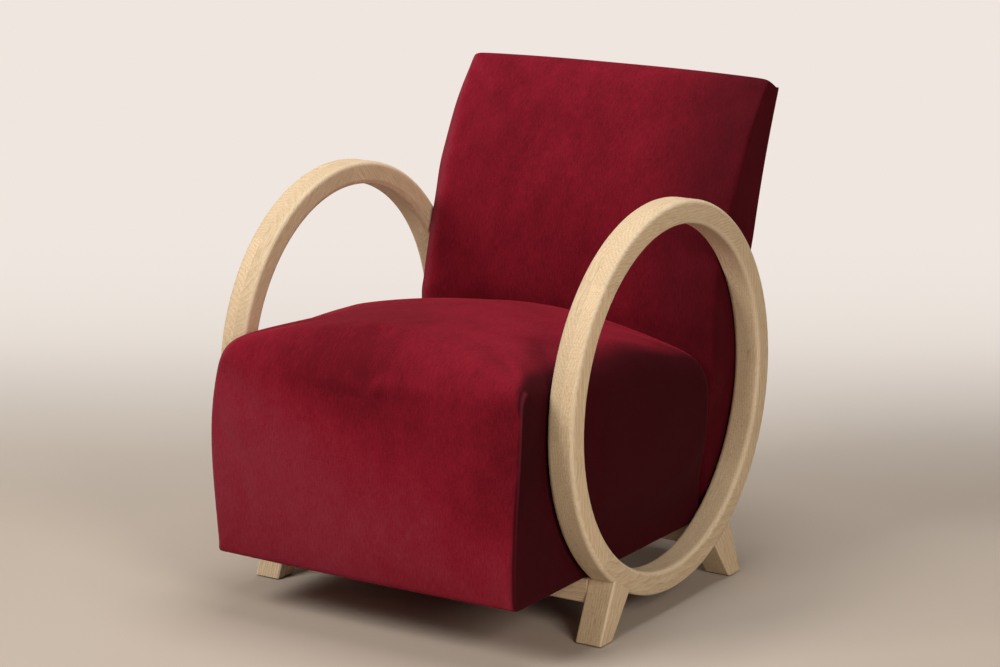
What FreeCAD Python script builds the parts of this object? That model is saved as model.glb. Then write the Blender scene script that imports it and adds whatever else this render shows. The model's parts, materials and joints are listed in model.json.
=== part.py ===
import FreeCAD, Part
import math
import os

# Club chair: a tight upholstered seat and back carried between two ring arms of laminated oak.
# Millimetres, +Z up, the front faces -Y and +X is the sitter's left.
# Everything is placed about the ring axis, a line along X through the middle of both rings,
# and each piece moves by origin_shift as it is written, so the origin is the middle of the footprint.

# Ring arms
ring_outer_radius = 320.0
ring_band = 39.0
ring_layer = 24.0
ring_floor_gap = 33.0
ring_arris = 8.5
ring_segments = 4
layer_stagger = 45.0
arm_gap = 4.0
glue_line = 0.15

# Splayed feet, coped to the rim of the rings
foot_top_overhang = 11.0
foot_top_length = 47.0
foot_splay = 42.0
foot_bottom_length = 40.0
foot_arris = 4.0
foot_inset = 0.6
glide_thickness = 2.5
glide_margin = 5.0

# Cross rails and dowels
rail_width = 38.0
rail_height = 40.0
rail_arris = 3.0
foot_dowel_diameter = 10.0
foot_dowel_in_ring = 22.0
foot_dowel_in_foot = 30.0
foot_dowel_spacing = 26.0
rail_dowel_diameter = 8.0
rail_dowel_spacing = 25.0
rail_dowel_depth = 26.0
rail_dowel_rise = 9.0
dowel_fit = 0.1

# Seat upholstery
seat_width = 572.0
seat_underside = 96.0
seat_front_reach = 395.0
seat_front_lean = 3.5
seat_front_bow = 8.0
seat_front_crown = 8.0
seat_rear_reach = 192.0
seat_front_height = 452.0
seat_rear_height = 421.0
seat_top_rise = 32.0
seat_nose = 40.0
seat_tail = 45.0
seat_crown = 17.0
seat_shoulder = 28.0
seat_corner = 5.0
seat_side_swell = 20.0
swell_ring_gap = 6.0
swell_drop = 2.0
swell_edge = 24.0
cover_thickness = 2.5
pad_clearance = 0.3
cover_hem = 28.0
dust_cover_thickness = 1.2
shoulder_sections = 5
crown_sections = 5

# Seat box, of boards, with webbing and hessian on top
box_board = 21.0
box_side_padding = 11.5
box_front_padding = 26.0
deck_height = 285.0
cross_member_height = 60.0
corner_block_leg = 48.0
corner_block_height = 90.0
webbing_thickness = 2.0
webbing_width = 60.0
lengthwise_straps = 6
crosswise_straps = 6
hessian_thickness = 1.5

# Back upholstery
back_seat_gap = 1.0
back_break_height = 425.0
back_reach = 422.0
back_rear_height = 797.0
back_foot_reach = 290.0
back_top_thickness = 58.0
back_top_tilt = 23.0
back_top_round = 16.0
back_swell = 29.0
back_crown = 12.0
back_hollow = 40.0
back_side_round = 13.0
back_top_corner = 12.0
outside_back_thickness = 4.0

# Back frame
back_foam = 26.0
back_top_foam = 14.0
stile_thickness = 28.0
back_rail_height = 55.0
back_rail_thickness = 28.0
middle_rail_gap = 4.0
bottom_rail_height = 96.0
back_webbing_width = 50.0
back_straps = 5
back_strap_start = 240.0
back_strap_drop = 77.0

# Hardware
bolt_diameter = 8.0
bolt_head_diameter = 16.0
bolt_head_height = 5.0
bolt_clearance = 0.3
thread_fit = 0.1
spacer_diameter = 20.0
insert_diameter = 14.0
insert_length = 20.0
insert_tip = 2.0
arm_bolt_angles_seat = (-70.0, -45.0)
arm_bolt_angles_back = (53.0, 115.0)
screw_diameter = 6.0
screw_head_diameter = 12.0
screw_head_height = 4.0
screw_in_box = 38.0
screw_spread = 200.0
back_bolt_spread = 180.0
back_bolt_height = 150.0
nut_diameter = 18.0
nut_height = 6.0

# Derived places
ring_axis_height = ring_floor_gap + ring_outer_radius
ring_inner_radius = ring_outer_radius - ring_band
ring_middle_radius = ring_outer_radius - ring_band / 2
ring_thickness = 2 * ring_layer
seat_half = seat_width / 2
ring_inner_face = seat_half + arm_gap
ring_outer_face = ring_inner_face + ring_thickness
frame_half = seat_half - cover_thickness - box_side_padding
box_front = -(seat_front_reach - box_front_padding)
box_rear = seat_rear_reach - cover_thickness - pad_clearance
box_floor = seat_underside + cover_thickness
side_board_top = deck_height + webbing_thickness
deck_top = side_board_top + webbing_thickness + hessian_thickness
rail_reach = box_rear - box_board / 2
rail_floor = seat_underside - rail_height
foot_top_reach = rail_reach + foot_top_overhang
foot_bottom_reach = foot_top_reach + foot_splay
back_front = seat_rear_reach + back_seat_gap
back_floor = seat_underside
bottom_rail_half = seat_half - cover_thickness - back_side_round
origin_shift = (seat_front_reach + seat_front_crown - back_reach) / 2
arm_bolt_angles = arm_bolt_angles_seat + arm_bolt_angles_back
left_to_right = (("left", 1), ("right", -1))
front_to_rear = (("front", -1), ("rear", 1))
X_AXIS = FreeCAD.Vector(1, 0, 0)
Y_AXIS = FreeCAD.Vector(0, 1, 0)
Z_AXIS = FreeCAD.Vector(0, 0, 1)
ring_centre = FreeCAD.Vector(0, 0, ring_axis_height)


# Small helpers

def box(x0, x1, y0, y1, z0, z1):
    corner = FreeCAD.Vector(x0, y0, z0)
    return Part.makeBox(x1 - x0, y1 - y0, z1 - z0, corner)


def rod(radius, length, base, axis):
    return Part.makeCylinder(radius, length, FreeCAD.Vector(*base), axis)


def mirrored(shape):
    return shape.mirror(FreeCAD.Vector(0, 0, 0), X_AXIS)


def on_side(shape, side):
    return shape if side > 0 else mirrored(shape)


def less(shape, tools):
    return shape.cut(list(tools))


def save(name, shape):
    solids = [solid.copy() for solid in shape.Solids]
    placed = solids[0] if len(solids) == 1 else Part.makeCompound(solids)
    placed.translate(FreeCAD.Vector(0, origin_shift, 0))
    placed.exportStep(os.path.join("parts", name + ".step"))
    print(name, len(solids), "solid(s)", round(sum(s.Volume for s in solids) / 1000), "cm3")


# Outlines in the YZ plane: points are (y, z), a pair is a line and a triple an arc through three points

def chord_point(start, end, share):
    return (start[0] + (end[0] - start[0]) * share, start[1] + (end[1] - start[1]) * share)


def bowed(start, end, rise):
    """The middle of an arc that stands rise to the left of the chord from start to end."""
    dy, dz = end[0] - start[0], end[1] - start[1]
    length = math.hypot(dy, dz)
    middle = chord_point(start, end, 0.5)
    return (middle[0] - dz / length * rise, middle[1] + dy / length * rise)


def end_direction(start, end, rise):
    """The direction in which such an arc arrives at its end."""
    dy, dz = end[0] - start[0], end[1] - start[1]
    turn = math.atan2(dz, dy) - 2 * math.atan2(2 * rise, math.hypot(dy, dz))
    return (math.cos(turn), math.sin(turn))


def crossing(point, direction, other, other_direction):
    """Where two lines cross."""
    det = direction[0] * other_direction[1] - direction[1] * other_direction[0]
    dy, dz = other[0] - point[0], other[1] - point[1]
    reach = (dy * other_direction[1] - dz * other_direction[0]) / det
    return (point[0] + direction[0] * reach, point[1] + direction[1] * reach)


def along(point, direction, distance):
    return (point[0] + direction[0] * distance, point[1] + direction[1] * distance)


def blend(start, start_direction, corner, end_direction_out):
    """An arc from start, tangent to both lines that meet at the corner: its middle and its end."""
    setback = math.hypot(corner[0] - start[0], corner[1] - start[1])
    end = along(corner, end_direction_out, setback)
    turn_cos = start_direction[0] * end_direction_out[0] + start_direction[1] * end_direction_out[1]
    half_turn = math.acos(turn_cos) / 2
    radius = setback / math.tan(half_turn)
    sagitta = radius * (1 - math.cos(half_turn))
    foot = chord_point(start, end, 0.5)
    reach = math.hypot(corner[0] - foot[0], corner[1] - foot[1])
    return chord_point(foot, corner, sagitta / reach), end


def outline_wire(path, x):
    edges = []
    for piece in path:
        points = [FreeCAD.Vector(x, y, z) for y, z in piece]
        if len(points) == 2:
            edges.append(Part.makeLine(*points))
        else:
            edges.append(Part.Arc(*points).toShape())
    return Part.Wire(edges)


def extruded(path, x0, x1):
    return Part.Face(outline_wire(path, x0)).extrude(FreeCAD.Vector(x1 - x0, 0, 0))


def rounding(radius, distance):
    """How far a rounded edge has fallen away at a distance inside the side it meets."""
    if distance >= radius:
        return 0.0
    return radius - math.sqrt(radius ** 2 - (radius - distance) ** 2)


def stations(half_width, shoulder):
    """Places along X for the sections of a padded form: equal turns over each shoulder, then equal steps."""
    flat = half_width - shoulder
    turns = [math.pi / 2 * n / shoulder_sections for n in range(shoulder_sections)]
    positive = [flat + shoulder * math.cos(turn) for turn in turns]
    positive += [flat * (1 - n / crown_sections) for n in range(crown_sections)]
    return [-x for x in positive] + [0.0] + positive[::-1]


def loft(wires):
    return Part.makeLoft(wires, True, True)


# Upholstered forms

def seat_outline(inset, floor, drop, setback, bulge):
    """The side outline of the seat: leaning front, round nose, arched top, round tail, straight rear."""
    lean = math.radians(seat_front_lean)
    up_front = (math.sin(lean), math.cos(lean))
    front_foot = (-(seat_front_reach + bulge - inset - setback), seat_underside)
    front_floor = crossing(front_foot, up_front, (0, floor), (1, 0))
    rear = seat_rear_reach - inset - setback
    front_top = seat_front_height - inset - drop
    nose_line = crossing(front_foot, up_front, (0, front_top), (1, 0))
    top_start = (nose_line[0] + seat_nose, front_top)
    top_end = (rear - seat_tail, seat_rear_height - inset - drop)
    top_middle = bowed(top_start, top_end, seat_top_rise)
    forward = end_direction(top_end, top_start, -seat_top_rise)
    backward = end_direction(top_start, top_end, seat_top_rise)
    nose_corner = crossing(top_start, forward, front_foot, up_front)
    nose_middle, nose_end = blend(top_start, forward, nose_corner, (-up_front[0], -up_front[1]))
    tail_corner = crossing(top_end, backward, (rear, floor), (0, 1))
    tail_middle, tail_end = blend(top_end, backward, tail_corner, (0, -1))
    rear_floor = (rear, floor)
    front_middle = bowed(front_floor, nose_end, seat_front_bow)
    return [(front_floor, front_middle, nose_end), (nose_end, nose_middle, top_start),
            (top_start, top_middle, top_end), (top_end, tail_middle, tail_end),
            (tail_end, rear_floor), (rear_floor, front_floor)]


def side_swell(inset, floor):
    """How the left side of the seat swells into the ring: a shallow cap, bevelled along the seat's outline."""
    half = seat_half - inset
    rim = ring_inner_radius - swell_ring_gap - inset
    radius = (rim ** 2 + seat_side_swell ** 2) / (2 * seat_side_swell)
    cap = Part.makeSphere(radius, FreeCAD.Vector(half + seat_side_swell - radius, 0, ring_axis_height))
    wires = []
    for x, edge in ((half - swell_drop, 0), (half + seat_side_swell, swell_edge)):
        drop = seat_crown + seat_shoulder - inset + edge
        path = seat_outline(inset, floor + swell_drop, drop, swell_drop + edge / 2, 0)
        wires.append(outline_wire(path, x))
    return loft(wires).common(cap)


def seat_form(inset, floor):
    """The padded seat: its crown across X, its front corners drawn in and its sides swelling into the rings."""
    half = seat_half - inset
    wires = []
    for x in stations(half, seat_shoulder - inset):
        edge = half - abs(x)
        share = (x / half) ** 2
        drop = rounding(seat_shoulder - inset, edge) + seat_crown * share
        path = seat_outline(inset, floor, drop, rounding(seat_corner, edge), seat_front_crown * (1 - share))
        wires.append(outline_wire(path, x))
    swell = side_swell(inset, floor)
    return loft(wires).fuse([swell, mirrored(swell)])


def rear_at(height):
    """How far the hollow rear line of the back reaches at a height: an arc bowed to the front."""
    foot = (back_foot_reach, back_floor)
    top = (back_reach, back_rear_height)
    chord = math.hypot(top[0] - foot[0], top[1] - foot[1])
    radius = (chord ** 2 / 4 + back_hollow ** 2) / (2 * back_hollow)
    centre = bowed(foot, top, back_hollow - radius)
    return centre[0] - math.sqrt(radius ** 2 - (height - centre[1]) ** 2)


def rear_arc(inset, low, high):
    """Three points of the rear line, moved to the front by the inset, from a high place to a low one."""
    return tuple((rear_at(z) - inset, z) for z in (high, (low + high) / 2, low))


def back_outline(front_inset, rear_inset, top_inset, floor, swell):
    """The side outline of the back: upright behind the seat, swelling front, tilted top, hollow rear."""
    tilt = math.radians(back_top_tilt)
    to_rear = (math.cos(tilt), -math.sin(tilt))
    rear = rear_arc(rear_inset, floor, back_rear_height - top_inset)
    front_foot = (back_front + front_inset, floor)
    front_break = (back_front + front_inset, back_break_height)
    thickness = back_top_thickness - front_inset - rear_inset
    front_top = along(rear[0], to_rear, -thickness / math.cos(tilt))
    rising = end_direction(front_break, front_top, swell)
    round_start = along(front_top, rising, -min(back_top_round, thickness / 2))
    swell_middle = bowed(front_break, round_start, swell)
    round_middle, round_end = blend(round_start, rising, front_top, to_rear)
    return [(front_foot, front_break), (front_break, swell_middle, round_start),
            (round_start, round_middle, round_end), (round_end, rear[0]), rear, (rear[2], front_foot)]


def back_form(inset):
    """The padded back, rounded at its front and top edges, with its crown across X."""
    half = seat_half - inset
    wires = []
    for x in stations(half, back_side_round):
        edge = half - abs(x)
        swell = back_swell + back_crown * (1 - (x / half) ** 2)
        front_inset = inset + rounding(back_side_round, edge)
        top_inset = inset + rounding(back_top_corner, edge)
        wires.append(outline_wire(back_outline(front_inset, inset, top_inset, back_floor + inset, swell), x))
    return loft(wires)


# Ring arms and feet

def rounded_section(x0, x1, inner, outer, round_x0, round_x1):
    """The section of a ring layer: an arc of radius round_x0 or round_x1 at each corner of that face."""
    def at(x, r):
        return FreeCAD.Vector(x, 0, ring_axis_height - r)

    def corner(x, r, from_side, to_side, radius):
        if radius == 0:
            return []
        middle = radius * (1 - math.sqrt(0.5))
        first = at(x + from_side[0] * radius, r + from_side[1] * radius)
        last = at(x + to_side[0] * radius, r + to_side[1] * radius)
        inside = at(x + (from_side[0] + to_side[0]) * middle, r + (from_side[1] + to_side[1]) * middle)
        return [Part.Arc(first, inside, last).toShape()]

    flats = [(at(x0, inner + round_x0), at(x0, outer - round_x0)),
             (at(x0 + round_x0, outer), at(x1 - round_x1, outer)),
             (at(x1, outer - round_x1), at(x1, inner + round_x1)),
             (at(x1 - round_x1, inner), at(x0 + round_x0, inner))]
    arcs = [corner(x0, outer, (0, -1), (1, 0), round_x0),
            corner(x1, outer, (-1, 0), (0, -1), round_x1),
            corner(x1, inner, (0, 1), (-1, 0), round_x1),
            corner(x0, inner, (1, 0), (0, 1), round_x0)]
    edges = []
    for flat, arc in zip(flats, arcs):
        edges += [Part.makeLine(*flat)] + arc
    return Part.Face(Part.Wire(edges))


def ring_sweep(section, start, sweep):
    """Turn a section about the ring axis, from an angle that is counted from straight down to the rear."""
    solid = section.revolve(ring_centre, X_AXIS, sweep)
    solid.rotate(ring_centre, X_AXIS, start)
    return solid


def on_ring(angle, radius):
    turn = math.radians(angle)
    return (radius * math.sin(turn), ring_axis_height - radius * math.cos(turn))


def ring_layers():
    """The sections of the two glued layers of the left ring, each rounded on its open face."""
    joint = ring_inner_face + ring_layer
    return {
        "inner": rounded_section(ring_inner_face, joint, ring_inner_radius, ring_outer_radius, ring_arris, 0),
        "outer": rounded_section(joint, ring_outer_face, ring_inner_radius, ring_outer_radius, 0, ring_arris),
    }


def foot_dowels(radius, spare):
    """The left side's foot dowels, or with spare length their holes, set along the radii of the ring."""
    foot_middle = math.degrees(math.asin((foot_top_reach - foot_top_length / 2) / ring_outer_radius))
    step = math.degrees(foot_dowel_spacing / 2 / ring_outer_radius)
    dowels = []
    for end in (-1, 1):
        for angle in (foot_middle - step, foot_middle + step):
            y, z = on_ring(end * angle, ring_outer_radius - foot_dowel_in_ring - spare)
            out = FreeCAD.Vector(0, math.sin(math.radians(end * angle)), -math.cos(math.radians(angle)))
            length = foot_dowel_in_ring + foot_dowel_in_foot + 2 * spare
            dowels.append(rod(radius, length, (ring_outer_face - ring_layer / 2, y, z), out))
    return dowels


def rail_dowels(radius, spare):
    """The left side's rail dowels, or with spare length their holes: half in the rail, half in the foot."""
    dowels = []
    for end in (-1, 1):
        for offset in (-rail_dowel_spacing / 2, rail_dowel_spacing / 2):
            start = (ring_inner_face - rail_dowel_depth - spare, end * rail_reach + offset,
                     rail_floor + rail_dowel_rise)
            dowels.append(rod(radius, 2 * (rail_dowel_depth + spare), start, X_AXIS))
    return dowels


def arm_rods(radius, x0, x1, angles):
    """Rods along X through the middle of the left ring's band, at angles counted from straight down."""
    rods = []
    for angle in angles:
        y, z = on_ring(angle, ring_middle_radius)
        rods.append(rod(radius, x1 - x0, (x0, y, z), X_AXIS))
    return rods


def foot(end):
    """A tapered block that splays away from the ring, coped to its rim and its rounded outer arris."""
    def rim(y):
        return ring_axis_height - math.sqrt(ring_outer_radius ** 2 - y ** 2)

    def line(top_y, bottom_y):
        top = (top_y, rim(top_y))
        bottom = (bottom_y, glide_thickness)
        lean = (top[0] - bottom[0], top[1] - bottom[1])
        return bottom, along(top, lean, ring_band / 2 / math.hypot(*lean))

    outer_bottom, outer_top = line(foot_top_reach, foot_bottom_reach)
    inner_bottom, inner_top = line(foot_top_reach - foot_top_length, foot_bottom_reach - foot_bottom_length)
    corners = [(end * y, z) for y, z in (outer_bottom, inner_bottom, inner_top, outer_top, outer_bottom)]
    path = list(zip(corners, corners[1:]))
    block = extruded(path, ring_inner_face, ring_outer_face - foot_inset)
    tall = [edge for edge in block.Edges if edge.BoundBox.ZLength > rim(0) + foot_arris]
    block = block.makeFillet(foot_arris, tall)
    rim_tool = rounded_section(ring_inner_face - foot_arris, ring_outer_face + glue_line,
                               ring_inner_radius - foot_arris, ring_outer_radius + glue_line,
                               0, ring_arris + glue_line)
    holes = foot_dowels(foot_dowel_diameter / 2 + dowel_fit, dowel_fit)
    holes += rail_dowels(rail_dowel_diameter / 2 + dowel_fit, dowel_fit)
    return less(block, [ring_sweep(rim_tool, 0, 360)] + holes)


def glide(end):
    """A felt pad under a foot."""
    inner, outer = foot_bottom_reach - foot_bottom_length + glide_margin, foot_bottom_reach - glide_margin
    low, high = sorted((end * inner, end * outer))
    return box(ring_inner_face + glide_margin, ring_outer_face - foot_inset - glide_margin,
               low, high, 0, glide_thickness)


def cross_rail(end):
    """An oak rail between the two rings, under the seat."""
    middle = end * rail_reach
    rail = box(-ring_inner_face, ring_inner_face, middle - rail_width / 2, middle + rail_width / 2,
               rail_floor, seat_underside)
    long_edges = [edge for edge in rail.Edges if edge.BoundBox.XLength > ring_inner_face]
    low_edges = [edge for edge in long_edges if edge.BoundBox.ZMax < seat_underside - rail_arris]
    rail = rail.makeFillet(rail_arris, low_edges)
    holes = rail_dowels(rail_dowel_diameter / 2 + dowel_fit, dowel_fit)
    holes += [mirrored(hole) for hole in holes]
    return less(rail, holes + seat_screws(bolt_clearance))


# Seat box

def seat_screws(clearance):
    """Screws from under the cross rails into the seat box, or with clearance their holes."""
    screws = []
    for end in (-1, 1):
        for x in (-screw_spread, 0, screw_spread):
            y = end * rail_reach
            shank = rod(screw_diameter / 2 + clearance, rail_height + cover_thickness + screw_in_box,
                        (x, y, rail_floor), Z_AXIS)
            head = rod(screw_head_diameter / 2 + clearance, screw_head_height + clearance,
                       (x, y, rail_floor), Z_AXIS)
            screws.append(shank.fuse(head).removeSplitter())
    return screws


def seat_box():
    """The boards of the seat box by name, before their holes."""
    inside = frame_half - box_board
    side = box(inside, frame_half, box_front + box_board, box_rear - box_board, box_floor, side_board_top)
    return {
        "seat_front_board": box(-frame_half, frame_half, box_front, box_front + box_board,
                                box_floor, deck_height),
        "seat_rear_board": box(-frame_half, frame_half, box_rear - box_board, box_rear,
                               box_floor, deck_height),
        "seat_left_board": side,
        "seat_right_board": mirrored(side),
        "seat_cross_member": box(-inside, inside, -rail_reach - box_board / 2, -rail_reach + box_board / 2,
                                 box_floor, box_floor + cross_member_height),
    }


def corner_blocks():
    """Three-cornered glue blocks in the corners of the seat box."""
    blocks = []
    inside = frame_half - box_board
    for x, x_in in ((-inside, 1), (inside, -1)):
        for y, y_in in ((box_front + box_board, 1), (box_rear - box_board, -1)):
            points = [(x, y), (x + x_in * corner_block_leg, y), (x, y + y_in * corner_block_leg), (x, y)]
            face = Part.Face(Part.makePolygon([FreeCAD.Vector(px, py, box_floor) for px, py in points]))
            blocks.append(face.extrude(FreeCAD.Vector(0, 0, corner_block_height)))
    return blocks


def spread(low, high, count):
    """Middles of equal shares of a length."""
    share = (high - low) / count
    return [low + share * (n + 0.5) for n in range(count)]


def seat_straps():
    """Two layers of webbing on the seat box: lengthwise on the end boards, crosswise on the side boards."""
    inside = frame_half - box_board
    half = webbing_width / 2
    lengthwise = [box(x - half, x + half, box_front, box_rear, deck_height, side_board_top)
                  for x in spread(-inside, inside, lengthwise_straps)]
    crosswise = [box(-frame_half, frame_half, y - half, y + half,
                     side_board_top, side_board_top + webbing_thickness)
                 for y in spread(box_front + box_board, box_rear - box_board, crosswise_straps)]
    return lengthwise, crosswise


# Back frame

def back_bolts(clearance):
    """Bolts from the seat box through its rear board into the back's bottom rail, or their holes."""
    start = box_rear - box_board
    length = back_front + back_foam + nut_height - start
    bolts = []
    for x in (-back_bolt_spread, 0, back_bolt_spread):
        shank = rod(bolt_diameter / 2 + clearance, length, (x, start, back_bolt_height), Y_AXIS)
        head = rod(bolt_head_diameter / 2, bolt_head_height, (x, start - bolt_head_height, back_bolt_height),
                   Y_AXIS)
        bolts.append(shank if clearance else shank.fuse(head).removeSplitter())
    return bolts


def back_nuts():
    nuts = []
    for x in (-back_bolt_spread, 0, back_bolt_spread):
        base = (x, back_front + back_foam, back_bolt_height)
        nut = rod(nut_diameter / 2, nut_height, base, Y_AXIS)
        nuts.append(nut.cut(rod(bolt_diameter / 2 + thread_fit, nut_height, base, Y_AXIS)))
    return nuts


def frame_outline(front_inset):
    floor = back_floor + cover_thickness + pad_clearance
    return back_outline(front_inset, outside_back_thickness, back_top_foam, floor, back_swell)


def back_frame():
    """The boards of the back frame by name, before their holes."""
    inside = frame_half - stile_thickness
    stile = extruded(frame_outline(back_foam), inside, frame_half)
    infill = extruded(frame_outline(back_foam), -inside, inside)
    top_low = back_rear_height - back_top_foam - back_rail_height
    upper_bolt = on_ring(arm_bolt_angles_back[1], ring_middle_radius)
    middle_high = upper_bolt[1] - bolt_head_diameter / 2 - middle_rail_gap
    middle_low = middle_high - back_rail_height
    middle_rear = rear_at((middle_low + middle_high) / 2) - outside_back_thickness
    low = back_floor + cover_thickness + pad_clearance
    return {
        "back_left_stile": stile,
        "back_right_stile": mirrored(stile),
        "back_top_rail": infill.common(box(-inside, inside, back_front, back_reach, top_low,
                                           back_rear_height + back_top_thickness)),
        "back_middle_rail": infill.common(box(-inside, inside, middle_rear - back_rail_thickness, back_reach,
                                              middle_low, middle_high)),
        "back_bottom_rail": box(-bottom_rail_half, bottom_rail_half,
                                back_front + cover_thickness + pad_clearance, back_front + back_foam,
                                low, low + bottom_rail_height),
    }


def back_webbing():
    """Straps across the front edges of the stiles."""
    sheet = extruded(frame_outline(back_foam - webbing_thickness), -frame_half, frame_half)
    sheet = sheet.cut(extruded(frame_outline(back_foam), -frame_half, frame_half))
    straps = []
    step = (back_rear_height - back_strap_drop - back_strap_start) / (back_straps - 1)
    for number in range(back_straps):
        z = back_strap_start + step * number
        straps.append(sheet.common(box(-frame_half, frame_half, back_front, back_reach,
                                       z - back_webbing_width / 2, z + back_webbing_width / 2)))
    return straps


def rear_cutter():
    """All that lies in front of the outside back panel."""
    rear = rear_arc(outside_back_thickness, back_floor, back_rear_height)
    spare = back_top_thickness
    above = along(rear[0], end_direction(rear[2], rear[0], back_hollow), spare)
    front = back_front - spare
    below = back_floor - spare
    corners = [rear[2], (rear[2][0], below), (front, below), (front, above[1]), above, rear[0]]
    return extruded(list(zip(corners, corners[1:])) + [rear], -ring_outer_face, ring_outer_face)


# The pieces, each written to its own file

def make_arms():
    insert_end = ring_inner_face + insert_length
    inserts = arm_rods(insert_diameter / 2, ring_inner_face, insert_end, arm_bolt_angles)
    bores = arm_rods(bolt_diameter / 2 + thread_fit, ring_inner_face, insert_end, arm_bolt_angles)
    spacers = arm_rods(spacer_diameter / 2, frame_half, ring_inner_face, arm_bolt_angles)
    ways = arm_rods(bolt_diameter / 2 + bolt_clearance, frame_half, ring_inner_face, arm_bolt_angles)
    bolts = []
    for angles, board in ((arm_bolt_angles_seat, box_board), (arm_bolt_angles_back, stile_thickness)):
        start = frame_half - board
        shanks = arm_rods(bolt_diameter / 2, start, insert_end - insert_tip, angles)
        heads = arm_rods(bolt_head_diameter / 2, start - bolt_head_height, start, angles)
        bolts += [shank.fuse(head).removeSplitter() for shank, head in zip(shanks, heads)]
    inserts = [insert.cut(bore) for insert, bore in zip(inserts, bores)]
    spacers = [spacer.cut(way) for spacer, way in zip(spacers, ways)]
    for name, pieces in (("arm_inserts", inserts), ("arm_spacers", spacers), ("arm_bolts", bolts)):
        save(name, Part.makeCompound(pieces + [mirrored(piece) for piece in pieces]))

    sockets_end = insert_end + dowel_fit
    holes = arm_rods(insert_diameter / 2 + dowel_fit, ring_inner_face, sockets_end, arm_bolt_angles)
    holes += foot_dowels(foot_dowel_diameter / 2 + dowel_fit, dowel_fit)
    starts = {"inner": 0.0, "outer": layer_stagger}
    sweep = 360.0 / ring_segments
    for layer, section in ring_layers().items():
        for number in range(ring_segments):
            segment = less(ring_sweep(section.copy(), starts[layer] + number * sweep, sweep), holes)
            for side_name, side in left_to_right:
                save(f"{side_name}_ring_{layer}_segment_{number + 1}", on_side(segment, side))


def make_base():
    for end_name, end in front_to_rear:
        for side_name, side in left_to_right:
            save(f"{end_name}_{side_name}_foot", on_side(foot(end), side))
        save(f"{end_name}_cross_rail", cross_rail(end))
    groups = {
        "foot_glides": [glide(end) for name, end in front_to_rear],
        "foot_dowels": foot_dowels(foot_dowel_diameter / 2, 0),
        "rail_dowels": rail_dowels(rail_dowel_diameter / 2, 0),
    }
    for name, pieces in groups.items():
        save(name, Part.makeCompound(pieces + [mirrored(piece) for piece in pieces]))
    save("seat_screws", Part.makeCompound(seat_screws(0)))


def make_seat():
    arm_ways = arm_rods(bolt_diameter / 2 + bolt_clearance, 0, ring_inner_face, arm_bolt_angles_seat)
    sleeves = arm_rods(spacer_diameter / 2 + bolt_clearance, 0, ring_inner_face, arm_bolt_angles_seat)
    arm_ways += [mirrored(way) for way in arm_ways]
    sleeves += [mirrored(sleeve) for sleeve in sleeves]
    bolts = back_bolts(bolt_clearance)
    screws = seat_screws(dowel_fit)
    for name, board in seat_box().items():
        side_board = name in ("seat_left_board", "seat_right_board")
        save(name, less(board, arm_ways if side_board else bolts + screws))
    save("seat_corner_blocks", Part.makeCompound(corner_blocks()))
    lengthwise, crosswise = seat_straps()
    save("seat_lengthwise_webbing", Part.makeCompound(lengthwise))
    save("seat_crosswise_webbing", Part.makeCompound(crosswise))
    save("seat_hessian", box(-frame_half, frame_half, box_front, box_rear,
                             side_board_top + webbing_thickness, deck_top))
    well = box(-frame_half, frame_half, box_front, seat_rear_reach, seat_underside, deck_top)
    save("seat_foam", less(seat_form(cover_thickness, box_floor), [well] + sleeves))
    screw_holes = seat_screws(bolt_clearance)
    opening = box(cover_hem - seat_half, seat_half - cover_hem, cover_hem - seat_front_reach,
                  seat_rear_reach - cover_hem, rail_floor, deck_height)
    shell = seat_form(0, seat_underside).cut(seat_form(cover_thickness, box_floor))
    save("seat_cover", less(shell, [opening] + sleeves + bolts + screw_holes))
    floor_slab = box(-seat_half, seat_half, -seat_front_reach, seat_rear_reach,
                     seat_underside, seat_underside + dust_cover_thickness)
    save("seat_dust_cover", less(opening.common(floor_slab), screw_holes))


def make_back():
    arm_ways = arm_rods(bolt_diameter / 2 + bolt_clearance, 0, ring_inner_face, arm_bolt_angles_back)
    sleeves = arm_rods(spacer_diameter / 2 + bolt_clearance, 0, ring_inner_face, arm_bolt_angles_back)
    arm_ways += [mirrored(way) for way in arm_ways]
    sleeves += [mirrored(sleeve) for sleeve in sleeves]
    bolts = back_bolts(bolt_clearance)
    frame = back_frame()
    for name, board in frame.items():
        stile = name in ("back_left_stile", "back_right_stile")
        save(name, less(board, arm_ways if stile else bolts))
    save("back_webbing", Part.makeCompound(back_webbing()))
    cutter = rear_cutter()
    outer = back_form(0)
    inner = back_form(cover_thickness).common(cutter)
    well = extruded(frame_outline(back_foam - webbing_thickness), -frame_half, frame_half)
    rail = frame["back_bottom_rail"].BoundBox
    rail_well = box(-frame_half, frame_half, back_front, rail.YMax, back_floor, rail.ZMax)
    save("back_foam", less(inner, [well, rail_well] + sleeves))
    save("outside_back", outer.cut(cutter))
    save("back_cover", less(outer.common(cutter), [inner] + sleeves + bolts))
    save("back_bolts", Part.makeCompound(back_bolts(0)))
    save("back_nuts", Part.makeCompound(back_nuts()))


os.makedirs("parts", exist_ok=True)
make_arms()
make_base()
make_seat()
make_back()
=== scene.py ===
# %% [markdown]
# # A club chair with ring arms
#
# The chair is a tight velvet seat and a raked back, held between two rings of limed oak.
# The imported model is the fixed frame: it holds every rigid piece at its real size. This lesson
# keeps the oak rings, feet and rails as they are and gives them a wood finish, and it replaces
# the plain upholstery solids with soft covers that are shaped, then swollen as cloth over foam.
# All lengths are metres, +Z is up, the front of the chair faces -Y.

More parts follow.
